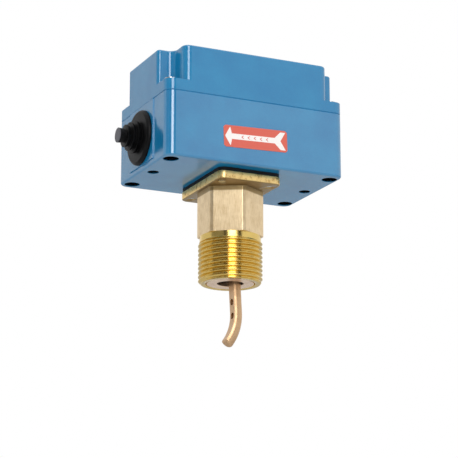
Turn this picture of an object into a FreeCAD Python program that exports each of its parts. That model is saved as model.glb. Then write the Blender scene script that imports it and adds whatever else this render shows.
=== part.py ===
import FreeCAD, Part
import math
import os
import re
import Sketcher

# Paddle flow switch: a plastic switch box on a brass stem that screws into a pipe tee.
# Units are millimetres and degrees.
# Frame: +Z runs up the stem, +X along the box against the flow, and -Y is the side with the label.
# Origin: on the stem's axis, in the plane of the hexagon's lower face, where the pipe thread starts.

SIZES = {
    # switch box, outside
    "box_wide": 99.0,
    "box_deep": 64.4,
    "base_tall": 34.2,
    "ledge_tall": 6.0,
    "cover_tall": 24.8,
    "corner_round": 4.6,
    "foot_round": 1.2,
    "roof_round": 1.0,
    "seam_bevel": 0.35,
    "end_panel_wide": 30.2,
    "end_panel_lift": 0.6,
    "end_panel_rise": 2.7,
    # corner notches of the cover
    "notch_wide": 9.0,
    "notch_deep": 12.8,
    "notch_hollow_round": 3.6,
    "notch_front_round": 3.9,
    "notch_end_round": 1.9,
    # switch box, walls and holes
    "wall": 2.5,
    "floor_thick": 3.0,
    "roof_thick": 2.5,
    "corner_core_bore": 8.0,
    "corner_core_inset_x": 5.1,
    "corner_core_inset_y": 6.8,
    "corner_core_deep": 18.0,
    "end_core_bore": 6.0,
    "end_core_inset": 6.3,
    "end_core_deep": 5.0,
    "end_boss_wall": 1.2,
    "end_boss_roof": 1.2,
    "stem_hole": 18.0,
    # sealing cord between base and cover
    "groove_margin": 0.7,
    "groove_wide": 1.1,
    "groove_deep": 1.2,
    "seal_clear": 0.05,
    # cover screws
    "cover_screw_inset_x": 4.3,
    "cover_screw_inset_y": 6.2,
    "cover_screw_shank": 3.5,
    "cover_screw_long": 14.0,
    "cover_screw_head": 6.0,
    "cover_screw_head_tall": 1.4,
    "slot_wide": 0.9,
    "slot_deep": 1.0,
    "screw_clear": 0.05,
    # cable grommet
    "inlet_rise": 17.15,
    "inlet_bore": 18.0,
    "grommet_disc": 28.4,
    "grommet_disc_thick": 2.4,
    "grommet_inner_disc": 21.6,
    "grommet_inner_thick": 2.4,
    "grommet_reach": 12.9,
    "grommet_tip": 7.8,
    "grommet_step": 1.5,
    "grommet_undercut": 0.5,
    "grommet_skin": 1.2,
    "grommet_disc_round": 0.8,
    "grommet_clear": 0.05,
    # label
    "label_wide": 35.4,
    "label_tall": 11.3,
    "label_thick": 0.25,
    "label_shift": -1.0,
    "label_rise": 14.2,
    "label_tilt": 1.8,
    # brass stem
    "hexagon": 30.3,
    "hexagon_round": 34.0,
    "hexagon_tall": 23.7,
    "flange_wide": 34.8,
    "flange_deep": 50.0,
    "flange_thick": 4.2,
    "flange_round": 3.6,
    "flange_bevel": 0.4,
    "thread_major": 33.25,
    "thread_long": 24.5,
    "thread_lead": 1.3,
    "stem_bore": 19.0,
    "carrier_seat": 21.0,
    "carrier_tall": 17.0,
    "bush_outer": 25.4,
    "bush_bore": 13.6,
    "bush_tall": 8.0,
    "bush_bevel": 0.5,
    "bush_recess": 1.2,
    "fit_clear": 0.05,
    # gasket and screws of the flange
    "gasket_thick": 1.8,
    "gasket_margin": 0.5,
    "flange_screw_x": 13.4,
    "flange_screw_y": 18.6,
    "flange_screw_shank": 4.0,
    "flange_screw_head": 7.0,
    "flange_screw_head_tall": 2.6,
    "flange_screw_short": 0.4,
    # paddle arm
    "pivot_rise": 18.0,
    "rest_tilt": 3.0,
    "pivot_pin": 3.0,
    "pin_clear": 0.05,
    "pin_inset": 0.5,
    "slot_clear": 0.15,
    "arm_bar": 6.5,
    "arm_flat": 1.9,
    "arm_flat_start": 38.0,
    "arm_straight": 57.0,
    "arm_bend": 24.0,
    "arm_bend_angle": 43.0,
    "arm_tip_round": 1.5,
    "arm_hole": 3.3,
    "arm_hole_first": 51.6,
    "arm_hole_pitch": 7.1,
    "arm_eye": 9.0,
    "arm_neck": 6.0,
    "arm_shoulder": 30.0,
    "arm_spigot": 4.0,
    # bellows
    "bellows_disc": 20.6,
    "bellows_disc_thick": 1.4,
    "bellows_outer": 15.6,
    "bellows_inner": 11.0,
    "bellows_skin": 0.8,
    "bellows_pitch": 2.6,
    "bellows_fold_count": 5.0,
    "bellows_collar_wall": 1.2,
    "bellows_collar_tall": 3.4,
    # operating lever on the arm
    "lever_wide": 10.0,
    "lever_thick": 1.5,
    "lever_left": 16.0,
    "lever_right": 30.5,
    "lever_round": 2.4,
    "lever_slot_long": 9.2,
    "lever_slot_wide": 5.0,
    "nut_flats": 7.0,
    "nut_tall": 1.8,
    # bracket on the floor of the box
    "bracket_wide": 66.0,
    "bracket_deep": 46.0,
    "bracket_thick": 1.5,
    "bracket_hole": 19.0,
    "bracket_corner": 2.0,
    "back_wall_tall": 42.0,
    "shelf_rise": 26.0,
    "shelf_wide": 12.0,
    # range screw, its spring and the spring's seat
    "range_x": 24.0,
    "range_screw": 4.0,
    "range_foot": 3.0,
    "range_foot_long": 1.5,
    "range_head": 8.0,
    "range_head_tall": 3.0,
    "range_play": 0.1,
    "range_clip": 6.4,
    "range_clip_tall": 1.0,
    "seat_wide": 11.0,
    "seat_tall": 2.4,
    "seat_rise": 3.0,
    "seat_play": 0.1,
    "spring_mean": 8.0,
    "spring_wire": 0.9,
    "spring_turn_count": 4.5,
    "spring_play": 0.1,
    # snap switch
    "switch_wide": 49.2,
    "switch_deep": 17.4,
    "switch_tall": 22.0,
    "switch_round": 1.2,
    "switch_x": -8.6,
    "switch_hole_pitch": 25.4,
    "switch_screw": 4.0,
    "switch_screw_head": 6.6,
    "switch_screw_head_tall": 2.4,
    "plunger_x": 12.0,
    "plunger_bar": 4.0,
    "plunger_proud": 3.5,
    "plunger_deep": 5.0,
    "plunger_travel": 1.5,
    "plunger_round": 1.0,
    "plunger_gap": 0.3,
    "terminal_pitch": 14.0,
    "terminal_wide": 8.0,
    "terminal_deep": 10.0,
    "terminal_thick": 1.0,
    "terminal_rib": 2.0,
    "terminal_rib_tall": 5.0,
    "terminal_screw": 3.5,
    "terminal_screw_head": 6.0,
    "terminal_screw_head_tall": 2.0,
    "terminal_screw_long": 6.0,
    "earth_inset_x": 9.0,
    "earth_inset_y": 8.0,
    "earth_screw_long": 3.2,
    "earth_hole_deep": 2.0,
}

doc = FreeCAD.newDocument("paddle_flow_switch")
sheet = doc.addObject("Spreadsheet::Sheet", "Sizes")
for row, (alias, value) in enumerate(SIZES.items(), start=1):
    sheet.set(f"A{row}", alias)
    sheet.set(f"B{row}", str(value))
    sheet.setAlias(f"B{row}", alias)
doc.recompute()

# Heights of the main planes above the origin, and half sizes that several pieces share.
FLANGE_TOP = "(hexagon_tall + flange_thick)"
BOX_FOOT = "(hexagon_tall + flange_thick + gasket_thick)"
BOX_FLOOR = f"({BOX_FOOT} + floor_thick)"
BOX_SEAM = f"({BOX_FOOT} + base_tall)"
BRACKET_TOP = f"({BOX_FLOOR} + bracket_thick)"
HALF_X = "box_wide / 2"
HALF_Y = "box_deep / 2"
MOUTH_PLANE = "(box_wide / 2 + end_panel_lift)"
SCREW_X = f"({HALF_X} - cover_screw_inset_x)"
SCREW_Y = f"({HALF_Y} - cover_screw_inset_y)"
END_CORE_X = f"({HALF_X} - end_core_inset)"
EARTH_X = "(bracket_wide / 2 - earth_inset_x)"
EARTH_Y = "-(bracket_deep / 2 - earth_inset_y)"

NODES = []


def num(text):
    """Value of an expression in the sheet's names."""
    return float(sheet.evalExpression(text))


def linked(text):
    """The same expression as another object of the document has to write it."""
    return re.sub(r"[a-z_]+", lambda word: "Sizes." + word.group() if word.group() in SIZES
                  else word.group(), text)


def bind(thing, prop, text):
    """Tie a property to an expression of the sheet."""
    thing.setExpression(prop, linked(text))


def new_body(label, x="0", y="0", z="0"):
    """An empty body whose own origin stands at x, y, z."""
    body = doc.addObject("PartDesign::Body", label)
    body.Label = label
    bind(body, "Placement.Base.x", x)
    bind(body, "Placement.Base.y", y)
    bind(body, "Placement.Base.z", z)
    NODES.append(body)
    return body


def turn_body(body, axis, angle):
    """Turn a body about an axis through its own origin by an angle of the sheet."""
    body.Placement.Rotation = FreeCAD.Rotation(FreeCAD.Vector(*axis), max(num(angle), 0.1))
    bind(body, "Placement.Rotation.Angle", angle)


def new_sketch(body, name, plane="XY_Plane", lift="0"):
    """A sketch on one of the body's own planes, lifted along that plane's normal."""
    sketch = body.newObject("Sketcher::SketchObject", f"{body.Label}_{name}")
    origin_plane = [item for item in body.Origin.OriginFeatures if item.Role == plane][0]
    sketch.AttachmentSupport = (origin_plane, [""])
    sketch.MapMode = "FlatFace"
    bind(sketch, "AttachmentOffset.Base.z", lift)
    return sketch


def place_point(sketch, geometry, end, point):
    """Hold one end of a line or a circle's centre at a point given by two expressions."""
    for axis, text in zip("XY", point):
        mark = sketch.addConstraint(
            Sketcher.Constraint("Distance" + axis, -1, 1, geometry, end, num(text)))
        label = f"at{mark}"
        sketch.renameConstraint(mark, label)
        bind(sketch, "Constraints." + label, text)


def outline(sketch, points):
    """A closed outline of straight lines through points given by pairs of expressions."""
    places = [FreeCAD.Vector(num(x), num(y), 0) for x, y in points]
    first = sketch.GeometryCount
    count = len(points)
    for index in range(count):
        sketch.addGeometry(Part.LineSegment(places[index], places[(index + 1) % count]))
    for index in range(count):
        following = first + (index + 1) % count
        sketch.addConstraint(Sketcher.Constraint("Coincident", first + index, 2, following, 1))
    for index in range(count):
        place_point(sketch, first + index, 1, points[index])


def rectangle(sketch, left, bottom, right, top):
    outline(sketch, [(left, bottom), (right, bottom), (right, top), (left, top)])


def centred(sketch, wide, deep):
    """A rectangle centred on the sketch's origin."""
    rectangle(sketch, f"-({wide}) / 2", f"-({deep}) / 2", f"({wide}) / 2", f"({deep}) / 2")


def circle(sketch, diameter, x="0", y="0"):
    centre = FreeCAD.Vector(num(x), num(y), 0)
    index = sketch.addGeometry(Part.Circle(centre, FreeCAD.Vector(0, 0, 1), num(diameter) / 2))
    place_point(sketch, index, 3, (x, y))
    mark = sketch.addConstraint(Sketcher.Constraint("Diameter", index, num(diameter)))
    label = f"diameter{mark}"
    sketch.renameConstraint(mark, label)
    bind(sketch, "Constraints." + label, diameter)


def polygon(sketch, flats, sides, turn=0.0, x="0", y="0"):
    """A regular polygon given by its size across flats; turn is the first corner's angle."""
    reach = f"({flats}) / 2 / cos({180 / sides})"
    corners = []
    for index in range(sides):
        angle = turn + 360 / sides * index
        corners.append((f"{x} + {reach} * cos({angle})", f"{y} + {reach} * sin({angle})"))
    outline(sketch, corners)


def feature(body, kind, name, sketch):
    made = body.newObject("PartDesign::" + kind, f"{body.Label}_{name}")
    made.Profile = sketch
    sketch.Visibility = False
    return made


def settle(body, made, grows):
    """Recompute, and make sure that the feature added or cut some material."""
    doc.recompute()
    before = made.BaseFeature.Shape.Volume if made.BaseFeature else 0.0
    change = made.Shape.Volume - before
    if (change > 0) != grows or abs(change) < 1e-4:
        raise ValueError(f"{made.Name} changed the volume of {body.Label} by {change}")
    return made


def pad(body, name, sketch, length, down=False, both=False):
    made = feature(body, "Pad", name, sketch)
    bind(made, "Length", length)
    made.Reversed = down
    made.Midplane = both
    return settle(body, made, True)


def pocket(body, name, sketch, length, up=False, both=False):
    """Cut against the sketch's normal, or along it if up is set."""
    made = feature(body, "Pocket", name, sketch)
    bind(made, "Length", length)
    made.Reversed = up
    made.Midplane = both
    return settle(body, made, False)


def revolve(body, name, sketch, axis="V_Axis", cut=False):
    made = feature(body, "Groove" if cut else "Revolution", name, sketch)
    made.ReferenceAxis = (sketch, [axis])
    made.Angle = 360
    return settle(body, made, not cut)


def edges_of(body, test):
    """Names of the tip's edges for which test is true."""
    edges = body.Tip.Shape.Edges
    return [f"Edge{index}" for index, edge in enumerate(edges, start=1) if test(edge)]


def dress(body, kind, name, test, size, prop):
    """A fillet or a chamfer on the chosen edges."""
    names = edges_of(body, test)
    if not names:
        raise ValueError(f"{name} of {body.Label} found no edges")
    base = body.Tip
    made = body.newObject("PartDesign::" + kind, f"{body.Label}_{name}")
    made.Base = (base, names)
    bind(made, prop, size)
    doc.recompute()
    return made


def fillet(body, name, test, size):
    return dress(body, "Fillet", name, test, size, "Radius")


def chamfer(body, name, test, size):
    return dress(body, "Chamfer", name, test, size, "Size")


def upright(edge):
    """True for a straight edge along the body's own Z."""
    if not isinstance(edge.Curve, Part.Line):
        return False
    return abs(edge.Curve.Direction.z) > 0.999


def level(edge, height):
    """True for an edge that lies whole in the plane z = height of the body."""
    box = edge.BoundBox
    return abs(box.ZMin - height) < 1e-4 and abs(box.ZMax - height) < 1e-4


def near(edge, x, y, reach=1e-3):
    """True for an edge whose middle stands over x, y, whatever their signs."""
    middle = edge.CenterOfMass
    return abs(abs(middle.x) - x) < reach and abs(abs(middle.y) - y) < reach


def signs(x, y):
    """The four points of a rectangle centred on the origin."""
    return [(f"{across} * {x}", f"{along} * {y}") for across in (-1, 1) for along in (-1, 1)]


# ---- outlines that base, cover and sealing cord share ----

def notched(sketch, half_x, half_y, inner_x, inner_y):
    """A rectangle with its four corners cut out square: inner_x, inner_y are the corners left."""
    outline(sketch, [
        (f"-({half_x})", f"-({inner_y})"), (f"-({inner_x})", f"-({inner_y})"),
        (f"-({inner_x})", f"-({half_y})"), (f"{inner_x}", f"-({half_y})"),
        (f"{inner_x}", f"-({inner_y})"), (f"{half_x}", f"-({inner_y})"),
        (f"{half_x}", f"{inner_y}"), (f"{inner_x}", f"{inner_y}"),
        (f"{inner_x}", f"{half_y}"), (f"-({inner_x})", f"{half_y}"),
        (f"-({inner_x})", f"{inner_y}"), (f"-({half_x})", f"{inner_y}"),
    ])


def cavity_outline(sketch, grow="0"):
    """The inside of the walls, shared by base and cover, moved outwards by grow."""
    notched(sketch, f"{HALF_X} - wall + {grow}", f"{HALF_Y} - wall + {grow}",
            f"{HALF_X} - notch_wide - wall + {grow}", f"{HALF_Y} - notch_deep - wall + {grow}")


# ---- switch box ----

def enclosure_base():
    """Moulded base: walls, corner posts cored from below, sealing groove and cable inlet."""
    body = new_body("enclosure_base", z=BOX_FOOT)
    block = new_sketch(body, "block")
    centred(block, "box_wide", "box_deep")
    pad(body, "walls", block, "base_tall")
    fillet(body, "corners", upright, "corner_round")
    fillet(body, "foot", lambda edge: level(edge, 0), "foot_round")
    rim = num("base_tall")
    chamfer(body, "seam", lambda edge: level(edge, rim), "seam_bevel")

    panel = new_sketch(body, "panel", "YZ_Plane", f"-({HALF_X} - wall / 2)")
    rectangle(panel, "-end_panel_wide / 2", "end_panel_rise",
              "end_panel_wide / 2", "base_tall - seam_bevel")
    pad(body, "end_panel", panel, "wall / 2 + end_panel_lift", down=True)

    cavity = new_sketch(body, "cavity", lift="base_tall")
    cavity_outline(cavity)
    pocket(body, "hollow", cavity, "base_tall - floor_thick")

    bosses = new_sketch(body, "bosses", lift="floor_thick / 2")
    for side in ("-1", "1"):
        circle(bosses, "end_core_bore + 2 * end_boss_wall", f"{side} * {END_CORE_X}")
    pad(body, "end_bosses", bosses, "end_core_deep + end_boss_roof - floor_thick / 2")

    groove = new_sketch(body, "groove", lift="base_tall")
    cavity_outline(groove, "groove_margin + groove_wide")
    cavity_outline(groove, "groove_margin")
    pocket(body, "seal_groove", groove, "groove_deep")

    cores = new_sketch(body, "cores")
    for x, y in signs(f"({HALF_X} - corner_core_inset_x)", f"({HALF_Y} - corner_core_inset_y)"):
        circle(cores, "corner_core_bore", x, y)
    pocket(body, "corner_cores", cores, "corner_core_deep", up=True)
    ends = new_sketch(body, "end_cores_at")
    for side in ("-1", "1"):
        circle(ends, "end_core_bore", f"{side} * {END_CORE_X}")
    pocket(body, "end_cores", ends, "end_core_deep", up=True)

    threads = new_sketch(body, "screw_holes_at", lift="base_tall")
    for x, y in signs(SCREW_X, SCREW_Y):
        circle(threads, "cover_screw_shank + 2 * screw_clear", x, y)
    pocket(body, "screw_holes", threads, "cover_screw_long - ledge_tall + 1")

    middle = new_sketch(body, "stem_holes_at", lift="floor_thick")
    circle(middle, "stem_hole")
    for x, y in signs("flange_screw_x", "flange_screw_y"):
        circle(middle, "flange_screw_shank + 2 * screw_clear", x, y)
    pocket(body, "stem_holes", middle, "floor_thick")
    earth = new_sketch(body, "earth_hole_at", lift="floor_thick")
    circle(earth, "terminal_screw + 2 * screw_clear", EARTH_X, EARTH_Y)
    pocket(body, "earth_hole", earth, "earth_hole_deep")

    inlet = new_sketch(body, "inlet_at", "YZ_Plane", f"-{MOUTH_PLANE}")
    circle(inlet, "inlet_bore", "0", "inlet_rise")
    pocket(body, "inlet", inlet, "wall + end_panel_lift", up=True)


def enclosure_cover():
    """Moulded cover: a low rim with the screw ledges, and a notched block above it."""
    body = new_body("enclosure_cover", z=BOX_SEAM)
    rim = new_sketch(body, "rim")
    centred(rim, "box_wide", "box_deep")
    pad(body, "ledge", rim, "ledge_tall")
    fillet(body, "corners", upright, "corner_round")
    chamfer(body, "seam", lambda edge: level(edge, 0), "seam_bevel")

    block = new_sketch(body, "block", lift="ledge_tall / 2")
    notched(block, HALF_X, HALF_Y, f"{HALF_X} - notch_wide", f"{HALF_Y} - notch_deep")
    pad(body, "crown", block, "cover_tall - ledge_tall / 2")
    inner_x, inner_y = num(f"{HALF_X} - notch_wide"), num(f"{HALF_Y} - notch_deep")
    outer_x, outer_y = num(HALF_X), num(HALF_Y)
    fillet(body, "notch_hollows", lambda edge: upright(edge) and near(edge, inner_x, inner_y),
           "notch_hollow_round")
    fillet(body, "front_edges", lambda edge: upright(edge) and near(edge, inner_x, outer_y),
           "notch_front_round")
    fillet(body, "end_edges", lambda edge: upright(edge) and near(edge, outer_x, inner_y),
           "notch_end_round")
    top = num("cover_tall")
    fillet(body, "roof_edge", lambda edge: level(edge, top), "roof_round")

    cavity = new_sketch(body, "cavity")
    cavity_outline(cavity)
    pocket(body, "hollow", cavity, "cover_tall - roof_thick", up=True)
    holes = new_sketch(body, "screw_holes_at")
    for x, y in signs(SCREW_X, SCREW_Y):
        circle(holes, "cover_screw_shank + 2 * screw_clear", x, y)
    pocket(body, "screw_holes", holes, "ledge_tall", up=True)


def cover_gasket():
    """Square sealing cord in the groove of the base, flush with the seam."""
    body = new_body("cover_gasket", z=f"{BOX_SEAM} - groove_deep + seal_clear")
    ring = new_sketch(body, "ring")
    cavity_outline(ring, "groove_margin + groove_wide - seal_clear")
    cavity_outline(ring, "groove_margin + seal_clear")
    pad(body, "cord", ring, "groove_deep - seal_clear")


def slotted_screws(label, spots, face, shank, length, head, head_tall, plane="XY_Plane"):
    """Cheese-head screws side by side, as separate solids of one node.

    face is how far the heads' seat lies along the plane's normal."""
    body = new_body(label)
    shanks = new_sketch(body, "shanks", plane, face)
    heads = new_sketch(body, "heads", plane, face)
    slots = new_sketch(body, "slots", plane, f"{face} + {head_tall}")
    for across, along in spots:
        circle(shanks, shank, across, along)
        circle(heads, head, across, along)
        rectangle(slots, f"{across} - {head} / 2 - 1", f"{along} - slot_wide / 2",
                  f"{across} + {head} / 2 + 1", f"{along} + slot_wide / 2")
    pad(body, "shank_bars", shanks, length, down=True)
    pad(body, "head_discs", heads, head_tall)
    pocket(body, "driver_slots", slots, "slot_deep")


def cover_screws():
    """Four screws that stand on the cover's corner ledges."""
    slotted_screws("cover_screws", signs(SCREW_X, SCREW_Y),
                   f"{BOX_SEAM} + ledge_tall", "cover_screw_shank", "cover_screw_long",
                   "cover_screw_head", "cover_screw_head_tall")


# ---- sealing and marking pieces on the box ----

def cable_grommet():
    """Rubber grommet with a closed, stepped cone: the fitter cuts it at the ring that suits."""
    body = new_body("cable_grommet", x=f"-{MOUTH_PLANE}", z=f"{BOX_FOOT} + inlet_rise")
    body.Placement.Rotation = FreeCAD.Rotation(FreeCAD.Vector(0, 0, 1), 180)
    neck = "inlet_bore / 2 - grommet_clear"
    wall_in = "-(wall + end_panel_lift + grommet_clear)"
    back = f"{wall_in} - grommet_inner_thick"
    # rings of the cone, from the tip to the disc: each is widest at its outer end
    rings = [("grommet_reach", "grommet_tip / 2"),
             ("grommet_reach * 0.7", "grommet_tip / 2 + grommet_step"),
             ("grommet_reach * 0.52", "grommet_tip / 2 + 2 * grommet_step"),
             ("grommet_reach * 0.36", "grommet_tip / 2 + 2.8 * grommet_step")]
    cone = [rings[0]]
    for (_, small), (end, large) in zip(rings, rings[1:]):
        cone.append((end, f"{small} - grommet_undercut"))
        cone.append((end, large))
    inner = "grommet_tip / 2 - grommet_skin"
    profile = new_sketch(body, "profile", "XZ_Plane")
    outline(profile, cone + [
        ("grommet_disc_thick", "grommet_tip / 2 + 2.5 * grommet_step"),
        ("grommet_disc_thick", "grommet_disc / 2 - grommet_disc_round"),
        ("grommet_disc_thick - grommet_disc_round", "grommet_disc / 2"),
        ("0", "grommet_disc / 2"),
        ("0", neck),
        (wall_in, neck),
        (wall_in, "grommet_inner_disc / 2"),
        (back, "grommet_inner_disc / 2"),
        (back, f"{neck} - 1.6 * grommet_skin"),
        ("0", f"{neck} - 1.6 * grommet_skin"),
        ("grommet_reach * 0.7", inner),
        ("grommet_reach - grommet_skin", inner),
        ("grommet_reach - grommet_skin", "0"),
        ("grommet_reach", "0"),
    ])
    revolve(body, "moulding", profile, "H_Axis")


def flow_label():
    """Adhesive label on the front wall, set a little askew."""
    body = new_body("flow_label", x="label_shift", y=f"-{HALF_Y} - label_thick",
                    z=f"{BOX_FOOT} + label_rise")
    turn_body(body, (0, -1, 0), "label_tilt")
    sheet_face = new_sketch(body, "face", "XZ_Plane")
    centred(sheet_face, "label_wide", "label_tall")
    pad(body, "plate", sheet_face, "label_thick", down=True)


# ---- brass stem ----

def stem_body():
    """Turned and milled brass stem: pipe thread, hexagon, and a flange under the box."""
    body = new_body("stem_body")
    flats = new_sketch(body, "flats")
    polygon(flats, "hexagon", 6, 360 / 12)
    pad(body, "hexagon_bar", flats, "hexagon_tall")
    turned = new_sketch(body, "turned", "XZ_Plane")
    outline(turned, [
        ("hexagon_round / 2", "-1"), ("hexagon", "-1"),
        ("hexagon", "hexagon_tall + 1"), ("hexagon_round / 2", "hexagon_tall + 1")])
    revolve(body, "round_corners", turned, cut=True)

    plate = new_sketch(body, "plate", lift="hexagon_tall")
    centred(plate, "flange_wide", "flange_deep")
    pad(body, "flange", plate, "flange_thick")
    corner_x, corner_y = num("flange_wide / 2"), num("flange_deep / 2")
    fillet(body, "flange_corners", lambda edge: upright(edge) and near(edge, corner_x, corner_y),
           "flange_round")
    low = num("hexagon_tall")
    chamfer(body, "flange_edge", lambda edge: level(edge, low) and outer_of_flange(edge),
            "flange_bevel")

    thread = new_sketch(body, "thread")
    circle(thread, "thread_major")
    pad(body, "thread_blank", thread, "thread_long", down=True)
    end = num("thread_long")
    chamfer(body, "thread_start", lambda edge: level(edge, -end), "thread_lead")

    bores = new_sketch(body, "bores", "XZ_Plane")
    outline(bores, [
        ("0", "-thread_long - 1"), ("bush_outer / 2", "-thread_long - 1"),
        ("bush_outer / 2", "-thread_long + bush_recess + bush_tall"),
        ("stem_bore / 2", "-thread_long + bush_recess + bush_tall"),
        ("stem_bore / 2", f"{FLANGE_TOP} - bellows_disc_thick - carrier_tall"),
        ("carrier_seat / 2", f"{FLANGE_TOP} - bellows_disc_thick - carrier_tall"),
        ("carrier_seat / 2", f"{FLANGE_TOP} + 1"), ("0", f"{FLANGE_TOP} + 1")])
    revolve(body, "bore", bores, cut=True)
    holes = new_sketch(body, "screw_holes_at", lift="hexagon_tall")
    for x, y in signs("flange_screw_x", "flange_screw_y"):
        circle(holes, "flange_screw_shank + 2 * screw_clear", x, y)
    pocket(body, "screw_holes", holes, "flange_thick", up=True)


def outer_of_flange(edge):
    """True for an edge on the flange's outer outline."""
    middle = edge.CenterOfMass
    beyond_x = abs(middle.x) > num("flange_wide / 2 - flange_round")
    return beyond_x or abs(middle.y) > num("flange_deep / 2 - flange_round")


def stem_bush():
    """Bush pressed into the stem's mouth: it limits the swing of the arm."""
    body = new_body("stem_bush", z="-thread_long + bush_recess")
    ring = new_sketch(body, "ring")
    circle(ring, "bush_outer - 2 * fit_clear")
    circle(ring, "bush_bore")
    pad(body, "bush", ring, "bush_tall - fit_clear")
    chamfer(body, "lead", lambda edge: level(edge, 0) and edge.Curve.Radius < num("bush_outer / 3"),
            "bush_bevel")


def pivot_carrier():
    """Brass carrier dropped into the stem from above; its slot guides the arm, its bore the pin."""
    base = f"{FLANGE_TOP} - bellows_disc_thick - carrier_tall"
    body = new_body("pivot_carrier", z=base)
    ring = new_sketch(body, "ring")
    circle(ring, "carrier_seat - 2 * fit_clear")
    pad(body, "blank", ring, "carrier_tall")
    slot = new_sketch(body, "slot")
    rectangle(slot, "-bush_bore / 2", "-(arm_eye / 2 + slot_clear)", "bush_bore / 2",
              "arm_eye / 2 + slot_clear")
    pocket(body, "arm_slot", slot, "carrier_tall", up=True)
    bore = new_sketch(body, "pin_bore", "XZ_Plane")
    circle(bore, "pivot_pin + 2 * pin_clear", "0", f"pivot_rise - ({base})")
    pocket(body, "pin_hole", bore, "carrier_seat", both=True)


def pivot_pin():
    """Steel pin across the carrier, along Y."""
    body = new_body("pivot_pin", z="pivot_rise")
    end = new_sketch(body, "end", "XZ_Plane")
    circle(end, "pivot_pin")
    pad(body, "bar", end, "carrier_seat - 2 * pin_inset", both=True)


def on_arm(body):
    """Give a body the arm's own frame: origin on the pin, tilted against the flow at rest."""
    bind(body, "Placement.Base.z", "pivot_rise")
    turn_body(body, (0, -1, 0), "rest_tilt")


def paddle_arm():
    """Brass arm: round bar with one flat for the paddles, bent at its end, with an eye on the pin."""
    body = new_body("paddle_arm")
    on_arm(body)
    bar = new_sketch(body, "bar_end", lift="-arm_flat_start")
    circle(bar, "arm_bar")
    pad(body, "round_bar", bar, "arm_flat_start")
    flatted = new_sketch(body, "flatted_end", lift="-arm_flat_start")
    flatted_circle(flatted, "arm_bar / 2", "arm_flat")
    path = new_sketch(body, "path", "XZ_Plane")
    bent_path(path)
    pipe = feature(body, "AdditivePipe", "flatted_bar", flatted)
    pipe.Spine = (path, ["Edge1", "Edge2"])
    settle(body, pipe, True)
    path.Visibility = False

    tip = FreeCAD.Vector(num("arm_bend * (cos(arm_bend_angle) - 1)"), 0,
                         num("-arm_straight - arm_bend * sin(arm_bend_angle)"))
    reach = num("arm_bar / 2 + 0.1")
    fillet(body, "tip", lambda edge: all(tip.distanceToPoint(corner.Point) < reach
                                         for corner in edge.Vertexes), "arm_tip_round")
    holes = new_sketch(body, "holes", "YZ_Plane", "-arm_bar")
    circle(holes, "arm_hole", "0", "-arm_hole_first")
    circle(holes, "arm_hole", "0", "-(arm_hole_first + arm_hole_pitch)")
    pocket(body, "paddle_holes", holes, "2 * arm_bar", up=True)

    eye = new_sketch(body, "eye", "XZ_Plane")
    circle(eye, "arm_eye")
    pad(body, "eye_disc", eye, "arm_eye", both=True)
    neck = new_sketch(body, "neck")
    circle(neck, "arm_neck")
    pad(body, "upper_bar", neck, "arm_shoulder")
    spigot = new_sketch(body, "spigot", lift="arm_shoulder")
    circle(spigot, "arm_spigot")
    pad(body, "top_spigot", spigot, "lever_thick + nut_tall")
    bore = new_sketch(body, "pin_bore", "XZ_Plane")
    circle(bore, "pivot_pin + 2 * pin_clear")
    pocket(body, "pin_hole", bore, "arm_eye * 2", both=True)


def held(sketch, kind, place, value):
    """Add a dimension to a sketch and tie it to an expression."""
    mark = sketch.addConstraint(Sketcher.Constraint(kind, *place, num(value)))
    label = f"size{mark}"
    sketch.renameConstraint(mark, label)
    bind(sketch, "Constraints." + label, value)


def flatted_circle(sketch, radius, flat):
    """A circle about the origin, cut off straight on its -X side at the distance flat."""
    half_turn = math.acos(-num(flat) / num(radius))
    round_side = Part.Circle(FreeCAD.Vector(), FreeCAD.Vector(0, 0, 1), num(radius))
    arc = sketch.addGeometry(Part.ArcOfCircle(round_side, -half_turn, half_turn))
    ends = [FreeCAD.Vector(-num(flat), side * num(radius) * math.sin(half_turn), 0)
            for side in (1, -1)]
    chord = sketch.addGeometry(Part.LineSegment(*ends))
    sketch.addConstraint(Sketcher.Constraint("Coincident", arc, 3, -1, 1))
    sketch.addConstraint(Sketcher.Constraint("Coincident", arc, 2, chord, 1))
    sketch.addConstraint(Sketcher.Constraint("Coincident", chord, 2, arc, 1))
    sketch.addConstraint(Sketcher.Constraint("Vertical", chord))
    held(sketch, "Radius", (arc,), radius)
    held(sketch, "DistanceX", (-1, 1, chord, 1), f"-({flat})")


def bent_path(sketch):
    """The arm's centre line: straight down, then an arc towards -X."""
    bend, angle = num("arm_bend"), math.radians(num("arm_bend_angle"))
    low = FreeCAD.Vector(0, -num("arm_straight"), 0)
    line = sketch.addGeometry(Part.LineSegment(FreeCAD.Vector(0, -num("arm_flat_start"), 0), low))
    sweep = Part.Circle(low - FreeCAD.Vector(bend, 0, 0), FreeCAD.Vector(0, 0, 1), bend)
    arc = sketch.addGeometry(Part.ArcOfCircle(sweep, 2 * math.pi - angle, 2 * math.pi))
    place_point(sketch, line, 1, ("0", "-arm_flat_start"))
    place_point(sketch, line, 2, ("0", "-arm_straight"))
    sketch.addConstraint(Sketcher.Constraint("Coincident", line, 2, arc, 2))
    place_point(sketch, arc, 3, ("-arm_bend", "-arm_straight"))
    held(sketch, "DistanceY", (arc, 1, arc, 3), "arm_bend * sin(arm_bend_angle)")


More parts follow.
